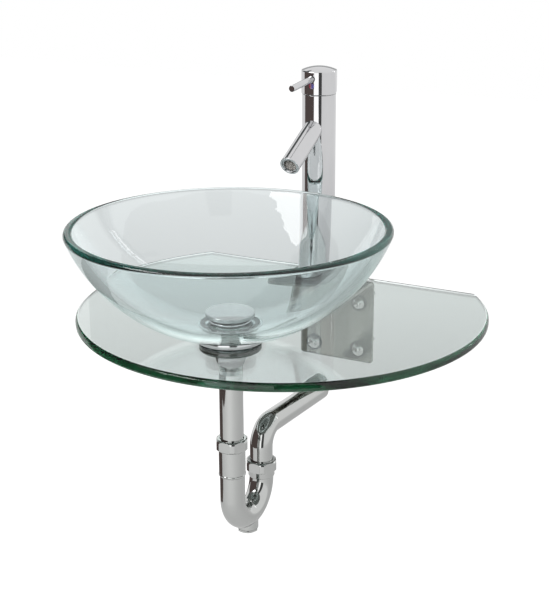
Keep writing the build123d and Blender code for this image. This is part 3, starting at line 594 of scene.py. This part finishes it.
for name, node, y in (("inlet_slip_nut", "trap_inlet_nut", bowl_y),
                      ("outlet_slip_nut", "trap_outlet_nut", leg_y)):
    nut_low, nut_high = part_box(node)
    low, high, reach = nut_low.z / mm, nut_high.z / mm, nut_high.x / mm
    section = [(tube_hole, high), (reach - shoulder, high)]
    section += round_about((reach - shoulder, high - shoulder), shoulder, 78, 0, 8)
    section += [(reach, low + 1), (reach - 1, low), (thread_hole, low), (thread_hole, high - 3),
                (tube_hole, high - 3), (tube_hole, high)]
    nut = turned(name, section, 144)
    cut_hexagon(nut, 20.8, (low - 5) * mm, (high + 5) * mm)
    stand(nut, y)
    polish(nut, 0.3 * mm, 25, 2)
    wear(nut, trap_chrome, stands_for=[node])

# ------------------------------------------------------------------ trap bend
# A cast and chromed U with a socket on each leg and a boss at its lowest point for the plug.
# It is drawn as a solid, and then its water way, its sockets and the plug's hole are bored.


def pull(y, levels):
    """Draws the selected hoop on along the upright axis at y, through (radius, height) levels."""
    for (radius, height), (next_radius, next_height) in zip(levels, levels[1:]):
        rise = (0, 0, (next_height - height) * mm)
        bpy.ops.mesh.extrude_region_move(TRANSFORM_OT_translate={"value": rise})
        if next_radius != radius:
            bpy.ops.transform.resize(value=(next_radius / radius, next_radius / radius, 1),
                                     center_override=(0, y, next_height * mm))


def hoop(name, radius, y, height, sides=96):
    """Edit mode on a new round wire, from which a pipe is drawn."""
    bpy.ops.object.select_all(action="DESELECT")
    bpy.ops.mesh.primitive_circle_add(radius=radius * mm, vertices=sides)
    piece = bpy.context.object
    piece.name = piece.data.name = name
    piece.location = (0, y, height * mm)
    settle(piece)
    bpy.context.tool_settings.mesh_select_mode = (True, False, False)
    bpy.ops.object.mode_set(mode="EDIT")
    bpy.ops.mesh.select_all(action="SELECT")
    return piece


turn_radius = (leg_y - bowl_y) / 2 / mm
turn_y = (leg_y + bowl_y) / 2
boss_foot_to_axis = 20
turn_z = bend_low.z / mm + boss_foot_to_axis + turn_radius
inlet_top = bend_high.z / mm
outlet_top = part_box("trap_outlet_washer")[0].z / mm


def bend_form(name, inlet, outlet):
    """A solid U whose two legs run through the given (radius, height) levels."""
    (radius, height), *_ = inlet
    form = hoop(name, radius, bowl_y, height)
    pull(bowl_y, inlet)
    bpy.ops.mesh.spin(steps=40, angle=-pi, center=(0, turn_y, turn_z * mm), axis=(1, 0, 0))
    pull(leg_y, outlet)
    bpy.ops.mesh.select_all(action="SELECT")
    bpy.ops.mesh.fill_holes(sides=0)
    close_up()
    return form


bend_radius, water_radius, boss_radius, plug_hole = 17, 15.2, 15, 10.5
bend = bend_form("trap_u", [(thread_radius, inlet_top), (thread_radius, inlet_top - 10),
                            (18, inlet_top - 11.5), (18, -103.4), (18.5, -103.9), (18.7, -104.7),
                            (18.5, -105.5), (17.6, -106.4), (bend_radius, -107.2), (bend_radius, turn_z)],
                 [(bend_radius, turn_z), (17.8, turn_z + 0.6), (18.6, turn_z + 2), (18.6, outlet_top - 11.5),
                  (thread_radius, outlet_top - 10), (thread_radius, outlet_top)])
boss = rod(boss_radius * mm, bend_low.z, (turn_z - turn_radius) * mm, (0, turn_y, 0))
fit_together(bend, boss, "UNION")
water_way = bend_form("water_way", [(water_radius, inlet_top + 1), (water_radius, turn_z)],
                      [(water_radius, turn_z), (water_radius, outlet_top + 1)])
fit_together(bend, water_way, "DIFFERENCE")
for radius, low, high, y in ((tube_hole, -100 * mm, (inlet_top + 1) * mm, bowl_y),
                             (tube_hole, (turn_z + 2.5) * mm, (outlet_top + 1) * mm, leg_y),
                             (plug_hole, bend_low.z - mm, (turn_z - turn_radius - 5) * mm, turn_y)):
    fit_together(bend, rod(radius * mm, low, high, (0, y, 0)), "DIFFERENCE")
polish(bend)
wear(bend, trap_chrome, stands_for=["trap_bend"])

# ------------------------------------------------------------------ cleanout plug
# A six-sided plug with a bevelled foot, screwed up into the boss of the bend on a rubber gasket.
# Like the slip nuts, it is a turned blank cut to its flats.
plug_low, plug_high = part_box("trap_cleanout_plug")
foot, plug_top = plug_low.z / mm, plug_high.z / mm
plug_radius, plug_thread, head_top = 15.35, 10.4, foot + 3.5
plug = turned("cleanout_plug", [(0, foot), (13.0, foot), (plug_radius, foot + 1.1), (plug_radius, head_top),
                                (plug_thread, head_top), (plug_thread, plug_top), (0, plug_top)], 96)
cut_hexagon(plug, 13.25, (foot - 5) * mm, plug_high.z + 5 * mm)
stand(plug, turn_y)
polish(plug, 0.25 * mm, 25, 2)
wear(plug, trap_chrome, stands_for=["trap_cleanout_plug"])

# ------------------------------------------------------------------ trap arm
# A 32 mm chromed tube with one swept elbow. It leaves the bend upwards and falls a little
# towards the wall, where it goes into the waste pipe.
arm_low, arm_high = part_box("trap_arm")
elbow_radius, fall = 28.0, radians(2.7)
arm_run = (arm_high.y - leg_y) / mm - elbow_radius * (1 + sin(fall))
arm_run = (arm_run - tube_radius * sin(fall)) / cos(fall)
elbow_z = arm_high.z / mm - tube_radius - elbow_radius
arm = hoop("waste_arm", tube_radius, leg_y, arm_low.z / mm)
pull(leg_y, [(tube_radius, arm_low.z / mm), (tube_radius, elbow_z)])
bpy.ops.mesh.spin(steps=32, angle=-(pi / 2 + fall), center=(0, leg_y + elbow_radius * mm, elbow_z * mm),
                  axis=(-1, 0, 0))
bpy.ops.mesh.extrude_region_move(TRANSFORM_OT_translate={
    "value": (0, arm_run * cos(fall) * mm, -arm_run * sin(fall) * mm)})
close_up()
alone(arm)
wall_of_tube = arm.modifiers.new("wall", "SOLIDIFY")
wall_of_tube.thickness = 1.2 * mm
wall_of_tube.offset = -1
wall_of_tube.use_even_offset = True
bpy.ops.object.modifier_apply(modifier="wall")
polish(arm)
wear(arm, trap_chrome, stands_for=["trap_arm"])

# ------------------------------------------------------------------ faucet body
# A chromed brass column with its spout brazed into it. The column is bored from above for the
# cartridge and from below for the shank and the two hoses, and the spout for its aerator.
column_low, column_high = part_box("faucet_body")
chamber_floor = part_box("cartridge")[0].z / mm
column_foot, column_top = column_low.z / mm, column_high.z / mm
column_radius = column_high.x / mm
shank_socket, chamber_radius = 16.5, 18.5
section = [(0, column_foot + 6), (shank_socket, column_foot + 6), (shank_socket, column_foot),
           (column_radius - 0.6, column_foot)]
section += round_about((column_radius - 0.6, column_foot + 0.6), 0.6, -70, 0, 4)
section += round_about((column_radius - 0.5, column_top - 0.5), 0.5, 0, 90, 4)
section += [(chamber_radius, column_top), (chamber_radius, chamber_floor), (0, chamber_floor)]
column = turned("column", section, 192)
stand(column, column_y)
spout_drop, spout_radius, spout_reach = 27.4, 14.0, 92.0
spout_length = spout_reach / cos(radians(spout_drop))
spout_root = (0, column_y, 331.8 * mm)
spout_turn = (radians(90 + spout_drop), 0, 0)
spout_start, mouth_radius, mouth_depth = 8, 11, 14
section = [(0, spout_start), (spout_radius, spout_start)]
section += round_about((spout_radius - 0.8, spout_length - 0.8), 0.8, 0, 90, 5)
section += [(mouth_radius + 0.4, spout_length), (mouth_radius, spout_length - 0.4),
            (mouth_radius, spout_length - mouth_depth), (0, spout_length - mouth_depth)]
spout = turned("spout", section, 128)
spout.rotation_euler = spout_turn
spout.location = spout_root
settle(spout)
fit_together(column, spout, "UNION")
hose_hole, hose_offset = 5 * mm, 6.5 * mm
for side in (-1, 1):
    drill = rod(hose_hole, 90 * mm, 104 * mm, (side * hose_offset, column_y, 0), None, 32)
    fit_together(column, drill, "DIFFERENCE")
polish(column, 0, 25)
wear(column, chrome, stands_for=["faucet_body"])

# ------------------------------------------------------------------ aerator
# A chromed ring screwed into the spout's mouth, with a sheet of woven steel wire behind its lip
# and a plastic screen behind the wire.
ring_outside, lip_radius, screen_seat = mouth_radius - 0.05, 9.3, spout_length - 3.5
section = [(8.3, spout_length - 12.5), (ring_outside, spout_length - 12.5)]
section += round_about((ring_outside - 0.5, spout_length - 2.0), 0.5, 0, 90, 4)
section += [(lip_radius, spout_length - 1.5), (lip_radius, screen_seat), (8.3, screen_seat), section[0]]
aerator = turned("aerator_ring", section, 96)
bpy.ops.object.select_all(action="DESELECT")
wire_rows, cloth_radius = 18, 8.9 * mm
bpy.ops.mesh.primitive_grid_add(x_subdivisions=wire_rows, y_subdivisions=wire_rows, size=2 * lip_radius * mm)
wires = bpy.context.object
wires.name = wires.data.name = "aerator_wires"
pick(wires, "FACE", lambda centre, normal: hypot(centre.x, centre.y) > cloth_radius)
bpy.ops.mesh.delete(type="FACE")
bpy.ops.object.mode_set(mode="OBJECT")
alone(wires)
wire = wires.modifiers.new("wire", "WIREFRAME")
wire.thickness = 0.34 * mm
wire.use_even_offset = False
bpy.ops.object.modifier_apply(modifier="wire")
wires.location = (0, 0, (spout_length - 2.75) * mm)
settle(wires)
screen_radius, screen_face = lip_radius - 0.02, spout_length - 3.1
backing = turned("aerator_screen", [(0, screen_seat), (screen_radius, screen_seat),
                                    (screen_radius, screen_face), (0, screen_face)], 96)
wire_steel = polished_metal("steel_wire", (0.26, 0.25, 0.235), 0.3, 0.1, 0.0)
screen_plastic = moulded("screen_plastic", (0.14, 0.13, 0.12), 0.4)
for piece, finish, slot, node in ((aerator, chrome, "chrome", "aerator_housing"),
                                  (wires, wire_steel, "grey_plastic", "aerator_mesh"),
                                  (backing, screen_plastic, "grey_plastic", "aerator_mesh")):
    piece.rotation_euler = spout_turn
    piece.location = spout_root
    settle(piece)
    polish(piece)
    wear(piece, finish, stands_for=[node])

# ------------------------------------------------------------------ handle
# A turned cap over the cartridge, relieved at the back so that it can tip, with a round bar for
# a lever in its front and a red and blue button below the lever.
head_low, head_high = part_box("handle_cap")
pivot_z = 372.0
cap_radius, cap_bottom, crown = head_high.x / mm, head_low.z / mm, head_high.z / mm
crown_rise = 5.5
crown_edge = crown - crown_rise
crown_sphere = (cap_radius ** 2 + crown_rise ** 2) / (2 * crown_rise)
boss_foot, stem_top = pivot_z + 8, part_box("cartridge_stem")[1].z / mm
stem_hole, boss_reach, skirt = 4, 8, cap_radius - 3
ceiling = crown_edge - 3.5
round_size = 2.0
reach = crown_sphere - round_size
round_z = crown - crown_sphere + sqrt(reach ** 2 - (cap_radius - round_size) ** 2)
round_turn = degrees(acos((cap_radius - round_size) / reach))
section = [(0, stem_top), (stem_hole, stem_top), (stem_hole, boss_foot), (boss_reach, boss_foot),
           (boss_reach, ceiling), (skirt, ceiling), (skirt, cap_bottom)]
section += round_about((cap_radius - 0.4, cap_bottom + 0.4), 0.4, -90, 0, 3)
section += round_about((cap_radius - round_size, round_z), round_size, 0, round_turn, 10)
section += round_about((0, crown - crown_sphere), crown_sphere, round_turn, 90, 16)[1:]
head = turned("handle_head", section, 192)
stand(head, column_y)
lever_z, lever_fall, lever_hole, button_hole = 394.5, 4.0, 5.3 * mm, 4.15 * mm
lever_place = (0, column_y - 8 * mm, lever_z * mm)
lever_turn = (radians(90 + lever_fall), 0, 0)
fit_together(head, rod(lever_hole, 4 * mm, 30 * mm, lever_place, lever_turn, 64), "DIFFERENCE")
button_low, button_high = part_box("indicator_button")
button_z = (button_low.z + button_high.z) / 2
drill = rod(button_hole, 8 * mm, 30 * mm, (0, column_y, button_z), facing_out, 64)
fit_together(head, drill, "DIFFERENCE")
relief = begin("relief")
tip, past, below = radians(21), 40, cap_bottom - 2
draw([Vector((-past * mm, column_y + y * mm, z * mm)) for y, z in (
    (0, below), (0, pivot_z - 1 / cos(tip)), (past, pivot_z + (past * sin(tip) - 1) / cos(tip)),
    (past, below), (0, below))])
bpy.ops.mesh.edge_face_add()
bpy.ops.mesh.extrude_region_move(TRANSFORM_OT_translate={"value": (2 * past * mm, 0, 0)})
close_up()
fit_together(head, relief, "DIFFERENCE")
polish(head, 0, 25)
wear(head, chrome, "handle", ["handle_cap"])

lever_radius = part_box("lever_pin")[1].x / mm
lever_reach = 77.1
lever_length = lever_reach / cos(radians(lever_fall))
section = [(0, 0), (lever_radius, 0)]
section += round_about((lever_radius - 0.5, lever_length - 0.5), 0.5, 0, 90, 4) + [(0, lever_length)]
lever = turned("lever", section, 96)
lever.rotation_euler = lever_turn
lever.location = lever_place
settle(lever)
polish(lever)
wear(lever, chrome, "handle", ["lever_pin"])

button_depth = (button_high.y - button_low.y) / mm
button = turned("hot_cold_button", [(0, 0), (3.9, 0), (3.9, button_depth - 0.6)]
                + arc_through((3.85, button_depth - 0.5), (2, button_depth - 0.12), (0, button_depth), 8), 64)
button.rotation_euler = facing_out
button.location = (0, button_high.y, button_z)
settle(button)
polish(button)
enamel = Finish(bpy.data.materials.new("hot_cold_enamel"))
place = enamel.add("TexCoord", out="Object")
across = enamel.add("SeparateXYZ", sockets={"Vector": place})
speckle = enamel.add("TexNoise", sockets={"Vector": place, "Scale": 500.0})
blend = across * 125.0 + 0.5 + (speckle - 0.5) * 0.05
paint = enamel.add("ValToRGB", {"stops": [(0.30, (0.56, 0.09, 0.14)), (0.46, (0.58, 0.48, 0.62)),
                                          (0.60, (0.12, 0.10, 0.45))]}, {"Fac": blend})
wear(button, enamel.surface(enamel.add("BsdfPrincipled", sockets={
    "Base Color": paint, "Roughness": 0.15 + speckle * 0.05, "Coat Weight": 0.5})), "handle",
     ["indicator_button"])

# ------------------------------------------------------------------ everything that keeps its CAD shape
# The gaskets, the shank with its nut, the cartridge and the other inner pieces are shown as the
# frame holds them. Each node takes the finish of its slot.
brass = polished_metal("plated_brass", (0.50, 0.485, 0.45), 0.16, 0.1, 0.05)
stainless = polished_metal("stainless", (0.56, 0.55, 0.54), 0.18, 0.12, 0.05)
rubber = moulded("seal_rubber", (0.05, 0.05, 0.05), 0.6)
plastic = moulded("grey_plastic", (0.35, 0.36, 0.37), 0.4)
dot = moulded("indicator", (0.7, 0.1, 0.12), 0.3)
finishes = {"chrome": chrome, "stainless": stainless, "brass": brass, "seal_rubber": rubber,
            "grey_plastic": plastic, "indicator": dot, "shelf_glass": shelf_glass, "bowl_glass": bowl_glass}
for subpart in frame["record"]["subparts"]:
    node = nodes[subpart["node"]]
    node.data.materials.clear()
    node.data.materials.append(finishes[subpart["material_slot"]])

# ------------------------------------------------------------------ studio
# A white studio with dark and bright cards round it. The camera sees plain white, mirrors and
# glass see it a little lower, and what lights the object is lower still, so that pale finishes
# keep their tone.
studio = Finish(bpy.data.worlds.new("studio"))
bpy.context.scene.world = studio.owner
camera_ray = studio.add("LightPath", out="Is Camera Ray")
glossy_ray = studio.add("LightPath", out="Is Glossy Ray")
passed_ray = studio.add("LightPath", out="Is Transmission Ray")
lit_by, to_mirrors, to_glass = 0.35, 0.63, 0.47
seen = (lit_by + camera_ray * (1 - lit_by)
        + (1 - camera_ray) * (glossy_ray * to_mirrors + passed_ray * to_glass))
white = studio.add("CombineXYZ", sockets={"X": seen, "Y": seen, "Z": seen})
sky = studio.add("Background", sockets={"Color": white})
studio.add("OutputWorld", sockets={"Surface": sky})

floor_level = -0.75
bpy.ops.object.select_all(action="DESELECT")
bpy.ops.mesh.primitive_plane_add(size=16, location=(0, -2, floor_level))
floor = bpy.context.object
floor.name = "floor"
settle(floor)
paper = Finish(bpy.data.materials.new("floor_paper"))
# What mirrors and glass see of the floor changes with the distance from the sink, and its part
# behind the sink on the left glows through the bowl's foot.
camera_sees = paper.add("LightPath", out="Is Camera Ray")
glossy_sees = paper.add("LightPath", out="Is Glossy Ray")
passed_sees = paper.add("LightPath", out="Is Transmission Ray")
spot = paper.add("TexCoord", out="Object")
reach_out = paper.add("VectorMath", {"operation": "LENGTH"}, {"Vector": spot}, out="Value")
spot_x = paper.add("SeparateXYZ", sockets={"Vector": spot}, out="X")
spot_y = paper.add("SeparateXYZ", sockets={"Vector": spot}, out="Y")


def fade(value, start, end, low, high):
    """Goes from low to high on the floor as value goes from start to end."""
    return paper.add("MapRange", sockets={"Value": value, "From Min": start, "From Max": end,
                                          "To Min": low, "To Max": high})


mirror_far = fade(reach_out, 1.4, 5.0, 0.02, 0.40)
window_far = fade(reach_out, 1.8, 2.5, -0.10, 0.01)
foot_glow = fade(reach_out, 0.95, 1.45, 1.15, 0.0)
behind = fade(spot_y, 0.12, 0.36, 0.0, 1.0)
leftward = fade(spot_x, -0.30, -0.02, 1.0, 0.0)
glow_to_all, glow_to_camera = 0.22, 0.55
glow = glow_to_all + glow_to_camera * camera_sees + (1 - camera_sees) * (
    glossy_sees * mirror_far + passed_sees * (window_far + foot_glow * behind * leftward))
matt = paper.add("BsdfDiffuse", sockets={"Color": (0.85, 0.85, 0.85, 1)})
shine = paper.add("CombineXYZ", sockets={"X": glow, "Y": glow, "Z": glow})
lit = paper.add("Emission", sockets={"Color": shine})
floor.data.materials.append(paper.surface(paper.add("AddShader", sockets={0: matt, 1: lit})))


def soft_light(name, place, aim, width, height, watts):
    """A large soft area lamp at place that looks at aim."""
    lamp = bpy.data.lights.new(name, "AREA")
    lamp.shape = "RECTANGLE"
    lamp.size = width
    lamp.size_y = height
    lamp.energy = watts
    holder = bpy.data.objects.new(name, lamp)
    bpy.context.scene.collection.objects.link(holder)
    holder.location = place
    holder.rotation_euler = (Vector(aim) - Vector(place)).to_track_quat("-Z", "Y").to_euler()
    return holder


key = soft_light("key_lamp", (0.3, -2.6, 1.7), (0, -0.3, 0.1), 0.6, 2.2, 40)
key.visible_glossy = False
key.visible_transmission = False


cards_y = -0.2


def card(name, outline, distance, colour, strength=1.0, overhead=None):
    """A studio card that only mirrors and glass show, with its corners at (turn, height). One
    that hangs overhead has them at (turn, reach), and shows only through glass."""
    board = begin(name)
    corners = []
    for turn, other in outline:
        reach, height = (distance, other) if overhead is None else (other, overhead)
        corners.append(Vector((reach * cos(radians(turn)), cards_y + reach * sin(radians(turn)), height)))
    draw(corners + [corners[0]])
    bpy.ops.mesh.edge_face_add()
    bpy.ops.object.mode_set(mode="OBJECT")
    board.visible_camera = False
    board.visible_diffuse = False
    board.visible_shadow = False
    board.visible_glossy = overhead is None
    board.visible_transmission = overhead is not None
    felt = Finish(bpy.data.materials.new(name))
    board.data.materials.append(felt.surface(felt.add("Emission", sockets={
        "Color": (*colour, 1), "Strength": strength})))
    return board


def upright(low_turn, high_turn, low, high):
    """Corners of a plain upright card."""
    return [(low_turn, high), (high_turn, high), (high_turn, low), (low_turn, low)]


felt_black = (0.11, 0.085, 0.08)
card("card_overhead", [(turn, 3.0 + 0.3 * sin(radians(turn * 5))) for turn in range(0, 360, 12)], None,
     (0.12, 0.13, 0.12), overhead=1.9)
card("card_dark", upright(-178, -99, -0.40, 0.62), 1.35, felt_black)
card("card_dark_foot", upright(-217, -150, -0.75, -0.40), 1.35, felt_black)
card("card_white", upright(-99, -66, -0.40, 0.80), 1.40, (1, 1, 1), 1.6)
card("card_line", upright(-66, -44, -0.40, 1.9), 1.45, (0.08, 0.08, 0.08))
card("card_window", [(-95, 0.86), (-98, 0.98), (-97, 1.07), (-104, 1.14), (-107, 1.25), (-106, 1.33),
                     (-113, 1.38), (-116, 1.50), (-121, 1.56), (-124, 1.72), (-133, 1.76), (-142, 1.86),
                     (-152, 1.80), (-150, 1.44), (-137, 1.16), (-127, 0.86)], 1.30, (1, 1, 1), 7.0)
card("card_dark_back", [(152, 0.36), (150, 1.10), (138, 1.20), (124, 1.55), (129, 1.62), (127, 1.70),
                        (132, 1.86), (130, 1.95), (138, 2.02), (137, 2.15), (146, 2.25), (152, 2.62),
                        (160, 2.40), (166, 2.5), (200, 2.1), (200, 0.36)], 1.40, (0.12, 0.13, 0.13))
card("card_dark_side", [(-186, 0.60), (-186, 1.9), (-160, 1.9), (-151, 1.35), (-146, 0.60)], 1.38,
     (0.2, 0.2, 0.2))
card("card_grey_back", upright(92, 136, 0.46, 0.90), 1.45, (0.46, 0.47, 0.47))
card("card_strip", [(51.3, 0.42), (54.3, 0.72), (61.3, 0.90), (62.5, 1.15), (62.0, 1.42), (61.5, 1.42),
                    (62.0, 1.15), (60.8, 0.90), (53.8, 0.72), (50.8, 0.42)], 1.40, (1, 1, 1), 13.0)

# ------------------------------------------------------------------ camera
# To the right of the sink's front and above its rim, on a long portrait lens. It is turned about
# its own axis by the small tilt that the uprights have, and light may cross many panes of glass.
right = Vector((0.88571, 0.46423, 0.0))
up = Vector((-0.14692, 0.28031, 0.94860))
back = Vector((0.44037, -0.84019, 0.31648))
roll = radians(0.22)
lens = bpy.data.cameras.new("camera")
lens.lens = 82.54
lens.clip_end = 60
camera = bpy.data.objects.new("camera", lens)
bpy.context.scene.collection.objects.link(camera)
camera.matrix_world = Matrix.Translation((0.8363, -1.8029, 0.7059)) @ Matrix(
    (right * cos(roll) - up * sin(roll), right * sin(roll) + up * cos(roll), back)).transposed().to_4x4()
bpy.context.scene.camera = camera
bpy.context.scene.view_settings.view_transform = "Standard"
light_paths = bpy.context.scene.cycles
light_paths.max_bounces = 40
light_paths.glossy_bounces = 32
light_paths.transmission_bounces = 32
